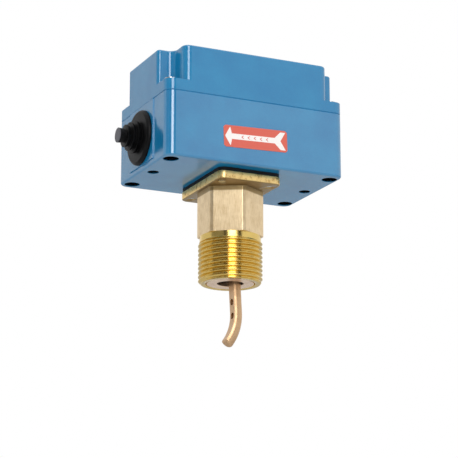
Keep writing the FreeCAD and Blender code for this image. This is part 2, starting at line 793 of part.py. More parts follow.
def seal_bellows():
    """Rubber bellows that keeps the water out of the box.

    Its folds lean with the arm; the disc at its foot lies level on the carrier."""
    body = new_body("seal_bellows")
    on_arm(body)
    foot = "hexagon_tall + flange_thick - bellows_disc_thick - pivot_rise"
    disc = new_sketch(body, "disc")
    bind(disc, "AttachmentOffset.Base.z", f"({foot}) * cos(rest_tilt)")
    bind(disc, "AttachmentOffset.Base.x", f"({foot}) * sin(rest_tilt)")
    disc.AttachmentOffset.Rotation = FreeCAD.Rotation(FreeCAD.Vector(0, 1, 0), num("rest_tilt"))
    bind(disc, "AttachmentOffset.Rotation.Angle", "rest_tilt")
    circle(disc, "bellows_disc")
    circle(disc, "bellows_inner")
    pad(body, "foot_disc", disc, "bellows_disc_thick")

    outer, inner = "bellows_outer / 2", "bellows_inner / 2"
    start = f"({foot}) + bellows_disc_thick / 2"
    out_side = [(outer, start)]
    in_side = [(f"{outer} - bellows_skin", start)]
    for index in range(int(num("bellows_fold_count"))):
        low = f"{start} + bellows_pitch * {index}"
        out_side.append((f"{inner} + bellows_skin", f"{low} + bellows_pitch / 2"))
        out_side.append((outer, f"{low} + bellows_pitch"))
        in_side.append((inner, f"{low} + bellows_pitch / 2"))
        in_side.append((f"{outer} - bellows_skin", f"{low} + bellows_pitch"))
    top = f"{start} + bellows_pitch * bellows_fold_count"
    grip = "arm_neck / 2 + fit_clear"
    head = [(outer, f"{top} + bellows_skin"),
            (f"{grip} + bellows_collar_wall", f"{top} + 2 * bellows_skin"),
            (f"{grip} + bellows_collar_wall", f"{top} + bellows_collar_tall"),
            (grip, f"{top} + bellows_collar_tall"),
            (grip, f"{top} + bellows_skin")]
    profile = new_sketch(body, "profile", "XZ_Plane")
    outline(profile, out_side + head + in_side[::-1])
    revolve(body, "folds", profile)


def operating_lever():
    """Steel strip on the top of the arm: one end meets the switch, the other the range spring."""
    body = new_body("operating_lever")
    on_arm(body)
    strip = new_sketch(body, "strip", lift="arm_shoulder")
    rectangle(strip, "-lever_left", "-lever_wide / 2", "lever_right", "lever_wide / 2")
    pad(body, "plate", strip, "lever_thick")
    fillet(body, "ends", upright, "lever_round")
    holes = new_sketch(body, "holes", lift="arm_shoulder + lever_thick")
    circle(holes, "arm_spigot + 2 * fit_clear")
    rectangle(holes, "range_x - lever_slot_long / 2", "-lever_slot_wide / 2",
              "range_x + lever_slot_long / 2", "lever_slot_wide / 2")
    pocket(body, "openings", holes, "lever_thick")


def lever_nut():
    """Hexagon nut that clamps the lever on the arm's spigot."""
    body = new_body("lever_nut")
    on_arm(body)
    flats = new_sketch(body, "flats", lift="arm_shoulder + lever_thick")
    polygon(flats, "nut_flats", 6, 0)
    circle(flats, "arm_spigot + 2 * fit_clear")
    pad(body, "nut", flats, "nut_tall")


def flange_gasket():
    """Flat rubber gasket between flange and box."""
    body = new_body("flange_gasket", z=FLANGE_TOP)
    plate = new_sketch(body, "plate")
    centred(plate, "flange_wide - gasket_margin", "flange_deep - gasket_margin")
    pad(body, "plate_pad", plate, "gasket_thick")
    fillet(body, "corners", upright, "flange_round")
    holes = new_sketch(body, "holes", lift="gasket_thick")
    circle(holes, "stem_hole")
    for x, y in signs("flange_screw_x", "flange_screw_y"):
        circle(holes, "flange_screw_shank + 2 * screw_clear", x, y)
    pocket(body, "openings", holes, "gasket_thick")


def flange_screws():
    """Four screws from the floor of the bracket down into the flange's threads."""
    grip = "bracket_thick + floor_thick + gasket_thick + flange_thick - flange_screw_short"
    slotted_screws("flange_screws", signs("flange_screw_x", "flange_screw_y"), BRACKET_TOP,
                   "flange_screw_shank", grip, "flange_screw_head", "flange_screw_head_tall")


# ---- mechanism inside the box ----

def lever_face(rise, x):
    """Height at x of a face that stands rise above the pin on the arm, in the rest position."""
    return f"(pivot_rise + ({rise}) / cos(rest_tilt) + ({x}) * tan(rest_tilt))"


PLUNGER_TIP = f"({lever_face('arm_shoulder + lever_thick', '-plunger_x')} + plunger_gap)"
SWITCH_FOOT = f"({PLUNGER_TIP} + plunger_proud)"
SWITCH_TOP = f"({SWITCH_FOOT} + switch_tall)"
SHELF_FOOT = f"({BRACKET_TOP} + shelf_rise)"
SHELF_TOP = f"({SHELF_FOOT} + bracket_thick)"
SEAT_FOOT = f"({BRACKET_TOP} + seat_rise)"
SEAT_TOP = f"({SEAT_FOOT} + seat_tall)"


def mounting_bracket():
    """Sheet-steel bracket: floor plate under the flange screws, back wall, and a shelf."""
    body = new_body("mounting_bracket", z=BOX_FLOOR)
    plate = new_sketch(body, "plate")
    centred(plate, "bracket_wide", "bracket_deep")
    pad(body, "floor_plate", plate, "bracket_thick")
    fillet(body, "plate_corners", upright, "bracket_corner")
    back = new_sketch(body, "back")
    rectangle(back, "-bracket_wide / 2 + bracket_corner", "switch_deep / 2",
              "bracket_wide / 2 - bracket_corner", "switch_deep / 2 + bracket_thick")
    pad(body, "back_wall", back, "back_wall_tall")
    shelf = new_sketch(body, "shelf", lift="bracket_thick + shelf_rise")
    rectangle(shelf, "range_x - shelf_wide / 2", "-shelf_wide / 2",
              "range_x + shelf_wide / 2", "switch_deep / 2 + bracket_thick")
    pad(body, "shelf_plate", shelf, "bracket_thick")
    holes = new_sketch(body, "holes", lift="bracket_thick")
    circle(holes, "bracket_hole")
    circle(holes, "range_foot + 2 * pin_clear", "range_x")
    circle(holes, "terminal_screw + 2 * screw_clear", EARTH_X, EARTH_Y)
    for x, y in signs("flange_screw_x", "flange_screw_y"):
        circle(holes, "flange_screw_shank + 2 * screw_clear", x, y)
    pocket(body, "floor_holes", holes, "bracket_thick")
    journal = new_sketch(body, "journal", lift="2 * bracket_thick + shelf_rise")
    circle(journal, "range_screw + 2 * pin_clear", "range_x")
    pocket(body, "shelf_hole", journal, "bracket_thick")
    threads = new_sketch(body, "switch_holes", "XZ_Plane", "-switch_deep / 2 - bracket_thick")
    for x, z in switch_screw_spots(f"({SWITCH_FOOT} - {BOX_FLOOR})"):
        circle(threads, "switch_screw + 2 * screw_clear", x, z)
    pocket(body, "back_holes", threads, "bracket_thick", up=True)


def switch_screw_spots(foot):
    """Centres of the two screws across the snap switch, whose underside lies at foot."""
    return [(f"switch_x + {side} * switch_hole_pitch / 2", f"{foot} + switch_tall / 2")
            for side in (-1, 1)]


def switch_case():
    """Moulded case of the snap switch, with ribs between its terminals and a bore for the plunger."""
    body = new_body("switch_case", z=SWITCH_FOOT)
    side = new_sketch(body, "side", "XZ_Plane")
    rectangle(side, "switch_x - switch_wide / 2", "0", "switch_x + switch_wide / 2", "switch_tall")
    pad(body, "block", side, "switch_deep", both=True)
    fillet(body, "corners", lambda edge: edge.Curve.Direction.y ** 2 > 0.9, "switch_round")
    ribs = new_sketch(body, "ribs", lift="switch_tall")
    for spot in (-1.5, -0.5, 0.5, 1.5):
        middle = f"switch_x + {spot} * terminal_pitch"
        rectangle(ribs, f"{middle} - terminal_rib / 2", "-switch_deep / 2",
                  f"{middle} + terminal_rib / 2", "switch_deep / 2")
    pad(body, "terminal_ribs", ribs, "terminal_rib_tall")
    top = new_sketch(body, "terminal_holes_at", lift="switch_tall")
    for x, y in terminal_spots():
        circle(top, "terminal_screw + 2 * screw_clear", x, y)
    pocket(body, "terminal_holes", top, "terminal_screw_long")
    across = new_sketch(body, "screw_holes_at", "XZ_Plane")
    for x, z in switch_screw_spots("0"):
        circle(across, "switch_screw + 2 * screw_clear", x, z)
    pocket(body, "screw_holes", across, "switch_deep", both=True)
    bore = new_sketch(body, "plunger_bore_at")
    circle(bore, "plunger_bar + 2 * pin_clear", "-plunger_x")
    pocket(body, "plunger_bore", bore, "plunger_deep + plunger_travel + plunger_gap", up=True)


def terminal_spots():
    return [(f"switch_x + {spot} * terminal_pitch", "0") for spot in (-1, 0, 1)]


def switch_plunger():
    """Plunger of the snap switch: the lever lifts it when water flows."""
    body = new_body("switch_plunger", x="-plunger_x", z=PLUNGER_TIP)
    end = new_sketch(body, "end")
    circle(end, "plunger_bar")
    pad(body, "bar", end, "plunger_proud + plunger_deep")
    fillet(body, "tip", lambda edge: level(edge, 0), "plunger_round")


def terminal_plates():
    """Three brass plates on the snap switch: common, closing and opening contact."""
    body = new_body("terminal_plates", z=SWITCH_TOP)
    plates = new_sketch(body, "plates")
    for x, y in terminal_spots():
        rectangle(plates, f"{x} - terminal_wide / 2", f"{y} - terminal_deep / 2",
                  f"{x} + terminal_wide / 2", f"{y} + terminal_deep / 2")
        circle(plates, "terminal_screw + 2 * screw_clear", x, y)
    pad(body, "blanks", plates, "terminal_thick")


def terminal_screws():
    """Screws that clamp the wires on the three terminals."""
    slotted_screws("terminal_screws", terminal_spots(), f"{SWITCH_TOP} + terminal_thick",
                   "terminal_screw", "terminal_screw_long", "terminal_screw_head",
                   "terminal_screw_head_tall")


def switch_screws():
    """Two screws through the snap switch into the bracket's back wall."""
    slotted_screws("switch_screws", switch_screw_spots(SWITCH_FOOT), "switch_deep / 2",
                   "switch_screw", "switch_deep + bracket_thick", "switch_screw_head",
                   "switch_screw_head_tall", "XZ_Plane")


def earth_screw():
    """Screw for the earth wire, on the bracket's floor plate."""
    slotted_screws("earth_screw", [(EARTH_X, EARTH_Y)], BRACKET_TOP, "terminal_screw",
                   "earth_screw_long", "terminal_screw_head", "terminal_screw_head_tall")


def range_screw():
    """Adjusting screw, held upright between the floor plate and the shelf."""
    body = new_body("range_screw", x="range_x")
    foot = new_sketch(body, "foot", lift=f"{BRACKET_TOP} + range_play")
    circle(foot, "range_foot")
    pad(body, "foot_pin", foot, "range_foot_long", down=True)
    bar = new_sketch(body, "bar", lift=f"{BRACKET_TOP} + range_play")
    circle(bar, "range_screw")
    pad(body, "threaded_bar", bar, f"{SHELF_TOP} - {BRACKET_TOP}")
    head = new_sketch(body, "head", lift=f"{SHELF_TOP} + range_play")
    circle(head, "range_head")
    pad(body, "head_disc", head, "range_head_tall")
    slot = new_sketch(body, "slot", lift=f"{SHELF_TOP} + range_play + range_head_tall")
    centred(slot, "range_head + 2", "slot_wide")
    pocket(body, "driver_slot", slot, "slot_deep")


def range_clip():
    """Clip under the shelf that keeps the adjusting screw from rising."""
    body = new_body("range_clip", x="range_x", z=f"{SHELF_FOOT} - range_play - range_clip_tall")
    ring = new_sketch(body, "ring")
    circle(ring, "range_clip")
    circle(ring, "range_screw + 2 * screw_clear")
    pad(body, "clip", ring, "range_clip_tall")


def spring_seat():
    """Nut plate on the adjusting screw; its long side runs along the back wall and stops it turning."""
    body = new_body("spring_seat", x="range_x", z=SEAT_FOOT)
    plate = new_sketch(body, "plate")
    rectangle(plate, "-seat_wide / 2", "-seat_wide / 2", "seat_wide / 2",
              "switch_deep / 2 - seat_play")
    circle(plate, "range_screw + 2 * pin_clear")
    pad(body, "nut_plate", plate, "seat_tall")


def range_spring():
    """Compression spring between its seat and the lever: it brings the arm back against the flow."""
    body = new_body("range_spring", x="range_x", z=SEAT_TOP)
    space = f"({lever_face('arm_shoulder', 'range_x - spring_mean / 2 - spring_wire')} - {SEAT_TOP})"
    wire = new_sketch(body, "wire", "XZ_Plane")
    circle(wire, "spring_wire", "spring_mean / 2", "spring_wire / 2 + spring_play")
    coil = feature(body, "AdditiveHelix", "coil", wire)
    coil.ReferenceAxis = (wire, ["V_Axis"])
    coil.Mode = "height-turns-angle"
    bind(coil, "Height", f"{space} - spring_wire - 2 * spring_play")
    bind(coil, "Turns", "spring_turn_count")
    settle(body, coil, True)


build = [enclosure_base, enclosure_cover, cover_gasket, cover_screws, cable_grommet, flow_label,
         stem_body, stem_bush, pivot_carrier, pivot_pin, flange_gasket, flange_screws, seal_bellows,
         paddle_arm, operating_lever, lever_nut, mounting_bracket, switch_case, switch_plunger,
         terminal_plates, terminal_screws, switch_screws, earth_screw, range_screw, range_clip,
         spring_seat, range_spring]
for make in build:
    make()

doc.recompute()
os.makedirs("parts", exist_ok=True)
for item in doc.Objects:
    if "Invalid" in item.State or "Error" in item.State:
        raise ValueError(f"{item.Name} failed: {item.State}")
for node in NODES:
    if node.Shape.isNull() or not node.Shape.isValid():
        raise ValueError(f"{node.Label} has no valid shape")
    print(node.Label, len(node.Shape.Solids), round(node.Shape.Volume, 1))
for node in NODES:
    node.Shape.exportStep(f"parts/{node.Label}.step")
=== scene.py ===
"""Paddle flow switch: a blue switch box on a brass pipe stem with a bent arm below it."""

import math

import bpy
import numpy as np
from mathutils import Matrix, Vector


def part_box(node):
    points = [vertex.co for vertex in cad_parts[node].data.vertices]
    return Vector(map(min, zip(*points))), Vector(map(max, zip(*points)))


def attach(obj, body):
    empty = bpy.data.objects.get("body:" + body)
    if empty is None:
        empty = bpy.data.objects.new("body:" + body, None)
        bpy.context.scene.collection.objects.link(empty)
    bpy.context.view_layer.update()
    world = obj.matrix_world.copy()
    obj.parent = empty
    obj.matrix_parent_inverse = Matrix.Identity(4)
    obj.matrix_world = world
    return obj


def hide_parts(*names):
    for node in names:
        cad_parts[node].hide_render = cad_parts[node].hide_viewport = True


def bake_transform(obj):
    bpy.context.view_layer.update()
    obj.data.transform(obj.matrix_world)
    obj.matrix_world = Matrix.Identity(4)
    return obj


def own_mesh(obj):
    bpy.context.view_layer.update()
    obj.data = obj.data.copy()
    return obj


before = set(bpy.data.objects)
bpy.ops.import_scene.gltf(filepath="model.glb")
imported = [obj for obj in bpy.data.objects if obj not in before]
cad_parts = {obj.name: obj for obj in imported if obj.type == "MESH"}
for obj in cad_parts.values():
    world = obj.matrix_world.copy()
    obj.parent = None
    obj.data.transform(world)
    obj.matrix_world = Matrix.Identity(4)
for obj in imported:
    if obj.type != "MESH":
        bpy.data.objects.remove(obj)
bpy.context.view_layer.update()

MM = 0.001
TURN = 2 * math.pi


# ---- corners of the CAD nodes, in millimetres ----

def node_box(node):
    """Lowest and highest corner of a CAD node, in millimetres."""
    low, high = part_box(node)
    return np.array(low) / MM, np.array(high) / MM


STEM_LOW, STEM_HIGH = node_box("stem_body")
BUSH_LOW, BUSH_HIGH = node_box("stem_bush")
_, LABEL_HIGH = node_box("flow_label")
GROMMET_LOW, GROMMET_HIGH = node_box("cable_grommet")
BASE_LOW, BASE_HIGH = node_box("enclosure_base")
BELLOWS_LOW, _ = node_box("seal_bellows")
SPRING_LOW, SPRING_HIGH = node_box("range_spring")


# ---- sizes in millimetres that a node's box doesn't give ----

HEX_FLATS, HEX_ROUND, HEX_TALL = 30.3, 34.0, 23.7
FLANGE_CORNER = 3.6
FLANGE_HOLE_X, FLANGE_HOLE_Y, FLANGE_HOLE_REACH = 13.4, 18.6, 2.1
STEM_BORE, STEM_TOP_BORE, STEM_STEP = 9.5, 10.5, 9.5
# heights below the hexagon's top where the painted reflection stripe starts and where it is full
REFLECTION_BAND_FOOT, REFLECTION_BAND_FULL = 2.7, 2.1

PITCH = 2.309
THREAD_DEEP = 0.64 * PITCH
THREAD_CREST = 16.625
COLLAR_REACH, COLLAR_FOOT = 15.8, -3.1
MOUTH_REACH, MOUTH_CHAMFER = 12.7, 0.15
BUSH_BORE, BUSH_NOSE, BUSH_NOSE_LONG = 6.8, 12.1, 1.4

CORE_CORNER_INSET_X, CORE_CORNER_INSET_Y, CORE_CORNER_REACH = 5.1, 6.8, 4.1
CORE_END_INSET, CORE_END_REACH = 6.3, 3.1

PIVOT_RISE, REST_LEAN = 18.0, math.radians(3.0)
FOLD_COUNT, FOLD_PITCH, FOLD_REACH, FOLD_SWING, SKIN = 5, 2.6, 7.05, 0.75, 0.8
NECK_REACH = 3.05
BELLOWS_DISC_BORE, BELLOWS_DISC_REACH, BELLOWS_DISC_THICK = 5.5, 10.3, 1.4

LABEL_WIDE, LABEL_TALL, LABEL_TILT = 35.4, 11.3, math.radians(1.8)
LABEL_MIDDLE_X, LABEL_MIDDLE_RISE = -1.0, 14.2
CHEVRON_COUNT, CHEVRON_START, CHEVRON_STEP = 5, -8.0, 3.4


# ---- surfaces ----

def mesh_piece(name, points, faces, body, finish, sharp=35):
    """A piece from points in millimetres and quads or polygons of their numbers; without a body
    it is left unattached."""
    mesh = bpy.data.meshes.new(name)
    mesh.from_pydata((np.asarray(points, float) * MM).tolist(), [], [list(face) for face in faces])
    mesh.validate()
    mesh.polygons.foreach_set("use_smooth", np.ones(len(mesh.polygons), bool))
    mesh.set_sharp_from_angle(angle=math.radians(sharp))
    piece = bpy.data.objects.new(name, mesh)
    bpy.context.scene.collection.objects.link(piece)
    mesh.materials.append(finish)
    if body is not None:
        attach(piece, body)
    return piece


def grid_faces(rows, columns, close_rows=False, flip=False):
    """Quads of a grid of rows by columns, whose columns always close round on themselves."""
    row = np.arange(rows if close_rows else rows - 1)[:, None]
    column = np.arange(columns)[None, :]
    following_row = (row + 1) % rows
    following_column = (column + 1) % columns
    corners = [row * columns + column, row * columns + following_column,
               following_row * columns + following_column, following_row * columns + column]
    quads = np.stack(np.broadcast_arrays(*corners), -1).reshape(-1, 4)
    return quads[:, ::-1] if flip else quads


def joined(*parts):
    """Several (points, faces) pairs as one."""
    points, faces, count = [], [], 0
    for part_points, part_faces in parts:
        points.append(part_points)
        faces.extend((np.asarray(face) + count).tolist() for face in part_faces)
        count += len(part_points)
    return np.concatenate(points), faces


def turned(profile, columns, centre=(0, 0, 0), axis=(0, 0, 1), close=True):
    """A closed profile of (radius, height) points, carried round the axis in equal steps.

    The point of row i and column j is centre + height_i * axis + radius_i * (cos, sin) of
    column j's angle in the plane square to the axis."""
    profile = np.asarray(profile, float)
    axis = np.asarray(axis, float) / np.linalg.norm(axis)
    helper = np.array([0.0, 1.0, 0.0]) if abs(axis[1]) < 0.9 else np.array([1.0, 0.0, 0.0])
    first = np.cross(helper, axis)
    first /= np.linalg.norm(first)
    second = np.cross(axis, first)
    angle = np.arange(columns) * TURN / columns
    ring = np.cos(angle)[:, None] * first + np.sin(angle)[:, None] * second
    points = (np.asarray(centre, float) + profile[:, 1, None, None] * axis
              + profile[:, 0, None, None] * ring)
    return points.reshape(-1, 3), grid_faces(len(profile), columns, close_rows=close)


def rounded_profile(corners, steps=4):
    """A closed profile whose corners are arcs: each corner is (radius, height, rounding).

    An arc is replaced by a quadratic curve between the points where the rounding starts, and a
    point that repeats the one before it is left out."""
    corners = np.asarray(corners, float)
    place, size = corners[:, :2], corners[:, 2]
    before = np.roll(place, 1, 0) - place
    after = np.roll(place, -1, 0) - place
    before_long = np.linalg.norm(before, axis=1)
    after_long = np.linalg.norm(after, axis=1)
    size = np.minimum(size, 0.49 * np.minimum(before_long, after_long))
    start = place + before / before_long[:, None] * size[:, None]
    end = place + after / after_long[:, None] * size[:, None]
    share = np.linspace(0, 1, steps + 1)[None, :, None]
    curve = ((1 - share) ** 2 * start[:, None] + 2 * share * (1 - share) * place[:, None]
             + share ** 2 * end[:, None]).reshape(-1, 2)
    moved = np.abs(np.diff(curve, axis=0)).sum(1) > 1e-6
    return curve[np.concatenate([[True], moved])]


def smooth_step(value, low, high):
    """0 below low, 1 above high and an even S between them."""
    share = np.clip((value - low) / (high - low), 0, 1)
    return share * share * (3 - 2 * share)


# ---- finishes ----

class Socket:
    """A socket of a finish's tree, so that sums on sockets are written as sums on numbers."""

    def __init__(self, finish, link):
        self.finish = finish
        self.link = link

    def math(self, operation, *others):
        """A Math node whose first socket is this one."""
        return self.finish.node("ShaderNodeMath", {"operation": operation},
                                dict(enumerate((self, *others))))

    def __add__(self, other):
        return self.math("ADD", other)

    def __sub__(self, other):
        return self.math("SUBTRACT", other)

    def __rsub__(self, other):
        return self.finish.node("ShaderNodeMath", {"operation": "SUBTRACT"}, {0: other, 1: self})

    def __mul__(self, other):
        return self.math("MULTIPLY", other)

    __radd__ = __add__
    __rmul__ = __mul__

    def between(self, low, high):
        """0 at low and 1 at high, straight between them and held outside."""
        return self.finish.node("ShaderNodeMapRange", {"clamp": True},
                                {"Value": self, "From Min": low, "From Max": high})


class Finish:
    """A material's tree, with one method for any node."""

    def __init__(self, name):
        self.material = bpy.data.materials.new(name)
        self.material.use_nodes = True
        self.tree = self.material.node_tree
        self.tree.nodes.clear()
        self.output = self.tree.nodes.new("ShaderNodeOutputMaterial")

    def node(self, kind, settings=None, inputs=None, take=0):
        """A node: its settings first, then the values or links of its sockets."""
        made = self.tree.nodes.new(kind)
        for name, value in (settings or {}).items():
            setattr(made, name, value)
        for name, value in (inputs or {}).items():
            if isinstance(value, Socket):
                self.tree.links.new(value.link, made.inputs[name])
            else:
                made.inputs[name].default_value = value
        return Socket(self, made.outputs[take])

    def place(self, stretch=(1, 1, 1)):
        """The point in millimetres, stretched."""
        point = self.node("ShaderNodeTexCoord", take="Object")
        scaled = self.node("ShaderNodeVectorMath", {"operation": "SCALE"},
                           {"Vector": point, "Scale": 1 / MM})
        return self.node("ShaderNodeVectorMath", {"operation": "MULTIPLY"},
                         {0: scaled, 1: stretch})

    def axes(self, vector):
        """X, Y and Z of a vector as three sockets."""
        split = self.node("ShaderNodeSeparateXYZ", {}, {"Vector": vector})
        return [Socket(self, out) for out in split.link.node.outputs]

    def noise(self, grain, vector=None, detail=2.0, rough=0.5):
        """Soft noise whose spots are about grain millimetres wide, from 0 to 1."""
        return self.node("ShaderNodeTexNoise", {"noise_dimensions": "3D"},
                         {"Vector": vector or self.place(), "Scale": 1 / grain,
                          "Detail": detail, "Roughness": rough})

    def mix(self, share, first, second):
        """A colour between two colours."""
        return self.node("ShaderNodeMix", {"data_type": "RGBA"},
                         {"Factor": share, "A": first, "B": second}, take="Result")

    def bump(self, height, deep):
        """A normal from a height of 0 to 1 that stands for deep millimetres."""
        return self.node("ShaderNodeBump", {},
                         {"Height": height, "Strength": 1.0, "Distance": deep * MM})

    def surface(self, **values):
        """The surface shader; underscores in names stand for spaces."""
        inputs = {name.replace("_", " "): value for name, value in values.items()}
        shader = self.node("ShaderNodeBsdfPrincipled", {}, inputs)
        self.tree.links.new(shader.link, self.output.inputs["Surface"])
        return self.material


def tint(red, green, blue):
    """A colour from 0 to 255 a channel, as a shader wants it."""
    share = np.array([red, green, blue]) / 255
    linear = np.where(share <= 0.04045, share / 12.92, ((share + 0.055) / 1.055) ** 2.4)
    return (*linear.tolist(), 1.0)


def moulded_plastic(name, light, deep, rough=0.24, grain=0.35, gloss=0.5, index=1.5,
                    painted_shade_bores=False):
    """Moulded plastic: faint flow clouds, a fine orange peel and small marks, and on request
    painted shade that colours the core holes' walls near-black.
    """
    finish = Finish(name)
    clouds = finish.noise(14.0, detail=3.0)
    specks = finish.noise(0.9, detail=2.0)
    colour = finish.mix((clouds * 0.75 + specks * 0.25).between(0.3, 0.7), deep, light)
    if painted_shade_bores:
        # painted shade: the core holes' walls are coloured near-black, as the shade deep in them
        # would make them
        colour = finish.mix(core_bore_shade_mask(finish), colour, tint(7, 10, 16))
    peel = finish.noise(1.6, detail=1.0)
    fine = finish.noise(grain, detail=1.0)
    scuffs = finish.noise(3.0, finish.place((1, 1, 6)), detail=4.0, rough=0.7)
    return finish.surface(
        Base_Color=colour,
        Roughness=rough + clouds * 0.05 + scuffs.between(0.58, 0.75) * 0.12,
        Specular_IOR_Level=gloss,
        IOR=index,
        Normal=finish.bump(peel * 0.8 + fine * 0.2, 0.008))


def core_bore_shade_mask(finish):
    """1 on the walls of the core holes in the box's underside, just inside their mouths, where the
    painted shade goes.
    """
    x, y, z = finish.axes(finish.place())
    x, wide_y = x.math("ABSOLUTE"), y.math("ABSOLUTE")
    corner_x = x - (BASE_HIGH[0] - CORE_CORNER_INSET_X)
    corner_y = wide_y - (BASE_HIGH[1] - CORE_CORNER_INSET_Y)
    end_x = x - (BASE_HIGH[0] - CORE_END_INSET)
    in_corner = (corner_x * corner_x
                 + corner_y * corner_y).math("LESS_THAN", CORE_CORNER_REACH ** 2)
    in_end = (end_x * end_x + y * y).math("LESS_THAN", CORE_END_REACH ** 2)
    return in_corner.math("MAXIMUM", in_end) * z.between(BASE_LOW[2] + 0.1, BASE_LOW[2] + 0.6)


def rubber(name, colour, rough=0.42, gloss=0.3, tip=None):
    """Moulded rubber: nearly black, with bloom in patches; tip is where a paler cut end starts."""
    finish = Finish(name)
    bloom = finish.noise(4.0, detail=4.0)
    pits = finish.noise(0.25, detail=2.0)
    paler = tuple(min(1.0, part * 2.2 + 0.004) for part in colour[:3]) + (1.0,)
    shade = finish.mix(bloom.between(0.45, 0.8), colour, paler)
    if tip is not None:
        x, _, _ = finish.axes(finish.place())
        shade = finish.mix(1 - x.between(tip + 0.15, tip + 0.5), shade, tint(96, 96, 102))
    return finish.surface(
        Base_Color=shade,
        Roughness=rough + bloom * 0.12,
        Specular_IOR_Level=gloss,
        Normal=finish.bump(pits, 0.01))


def brass(name, light, deep, rough, lines=(1, 1, 1), line_deep=0.006, stain=0.35, rings=False):
    """Brass: tarnish in clouds, fine tool lines drawn out along one axis, or rings round the
    stem's axis with painted shade colouring the bore inside them near-black."""
    finish = Finish(name)
    clouds = finish.noise(5.0, detail=5.0, rough=0.6)
    spots = finish.noise(1.1, detail=3.0, rough=0.7)
    if rings:
        x, y, z = finish.axes(finish.place())
        reach = (x * x + y * y).math("SQRT")
        rings_at = finish.node("ShaderNodeCombineXYZ", {}, {0: reach * 7, 2: z * 7})
        tool = finish.noise(1.0, rings_at)
    else:
        tool = finish.noise(0.5, finish.place(lines), detail=3.0, rough=0.6)
    tarnish = (clouds * 0.7 + spots * 0.3).between(0.45, 0.72)
    colour = finish.mix(tarnish * stain + tool * 0.2, light, deep)
    if rings:
        # painted shade: inside the bush's bore the colour goes near-black
        outside_painted_shade = reach.between(BUSH_BORE - 0.1, BUSH_BORE + 0.1)
        colour = finish.mix(outside_painted_shade, tint(14, 12, 10), colour)
    return finish.surface(
        Base_Color=colour,
        Metallic=1.0,
        Roughness=rough + tool * 0.12 + tarnish * 0.14,
        Normal=finish.bump(tool, line_deep))


def milled_stem(name):
    """Hexagon and flange: upright brush lines on the pale flats, a darker stripe of painted
    reflection at the top of the flats just below the flange, and a golden, blotchy flange edge."""
    finish = Finish(name)
    _, _, z = finish.axes(finish.place())
    brush = finish.noise(0.5, finish.place((3.0, 3.0, 0.12)), detail=3.0, rough=0.6)
    clouds = finish.noise(5.0, detail=5.0, rough=0.6)
    blotch = finish.noise(2.4, detail=4.0, rough=0.7)
    flats = finish.mix((brush * 0.6 + clouds * 0.4).between(0.35, 0.65),
                       tint(206, 178, 134), tint(248, 226, 188))
    # painted reflection: the dark flange underside mirrored in the flats' top is coloured in as a
    # darker stripe
    painted_reflection_band = z.between(HEX_TALL - REFLECTION_BAND_FOOT, HEX_TALL - REFLECTION_BAND_FULL)
    flats = finish.mix(painted_reflection_band * 0.85, flats, tint(130, 108, 66))
    edge = finish.mix(blotch.between(0.5, 0.7), tint(255, 222, 150), tint(182, 132, 70))
    on_flange = z.between(HEX_TALL + 0.1, HEX_TALL + 0.5)
    return finish.surface(
        Base_Color=finish.mix(on_flange, flats, edge),
        Metallic=1.0,
        Roughness=0.27 + brush * 0.14 + on_flange * 0.06,
        Normal=finish.bump(brush, 0.006))


def steel(name, colour, rough, stretch=(1, 1, 1)):
    """Zinc-plated or bare steel: a spangle of slightly different greys."""
    finish = Finish(name)
    spangle = finish.noise(1.2, detail=3.0)
    tool = finish.noise(0.3, finish.place(stretch), detail=2.0)
    darker = tuple(part * 0.7 for part in colour[:3]) + (1.0,)
    return finish.surface(
        Base_Color=finish.mix(spangle.between(0.35, 0.75), colour, darker),
        Metallic=1.0,
        Roughness=rough + tool * 0.15,
        Normal=finish.bump(tool, 0.004))


def label_film(name, colour):
    """Printed film: a fine print grain under a clear, slightly wavy lacquer."""
    finish = Finish(name)
    print_grain = finish.noise(0.22, detail=2.0)
    wave = finish.noise(7.0, detail=1.0)
    paler = tuple(part * 0.86 + 0.1 for part in colour[:3]) + (1.0,)
    return finish.surface(
        Base_Color=finish.mix(print_grain.between(0.3, 0.8) * 0.5, colour, paler),
        Roughness=0.3 + wave * 0.08,
        Normal=finish.bump(wave, 0.02))


# the base moulding carries painted shade in its core holes
BLUE_BASE = moulded_plastic("blue_base_moulding", tint(30, 132, 180), tint(12, 116, 168), 0.12,
                            gloss=1.0, index=1.6, painted_shade_bores=True)
BLUE_COVER = moulded_plastic("blue_cover_moulding", tint(28, 132, 180), tint(10, 118, 170), 0.14,
                             gloss=0.9)
BLACK_RUBBER = rubber("black_grommet_rubber", tint(3, 3, 4), 0.4, 0.14, GROMMET_LOW[0])
GASKET_RUBBER = rubber("black_gasket_rubber", tint(8, 8, 9), 0.6)
BELLOWS_RUBBER = rubber("bellows_rubber", tint(26, 26, 27), 0.5)
LABEL_RED = label_film("label_red", tint(218, 96, 78))
LABEL_WHITE = label_film("label_white", tint(250, 244, 240))
STEM_BRASS = milled_stem("stem_milled_brass")
THREAD_BRASS = brass("thread_cut_brass", tint(226, 196, 116), tint(162, 130, 62), 0.1,
                     (0.6, 0.6, 4.0), 0.002, 0.2)
ARM_BRASS = brass("arm_drawn_brass", tint(206, 172, 134), tint(160, 124, 90), 0.32,
                  (4.0, 4.0, 0.4), 0.003, 0.2)
BUSH_BRONZE = brass("bush_turned_bronze", tint(246, 222, 198), tint(186, 152, 126), 0.3,
                    line_deep=0.008, rings=True)
INNER_BRASS = brass("inner_brass", tint(226, 194, 136), tint(168, 132, 84), 0.28)
ZINC = steel("zinc_plated_sheet", tint(206, 206, 204), 0.28)
SCREW_STEEL = steel("zinc_plated_screw", tint(214, 212, 206), 0.2)
PIN_STEEL = steel("ground_pin_steel", tint(200, 200, 200), 0.15, (3, 3, 0.4))
SPRING_STEEL = steel("spring_wire", tint(150, 150, 152), 0.25)
SWITCH_BLACK = moulded_plastic("switch_black_moulding", tint(34, 34, 35), tint(24, 24, 25), 0.45)
PLUNGER_RED = moulded_plastic("plunger_red_moulding", tint(176, 42, 34), tint(150, 30, 26), 0.4)

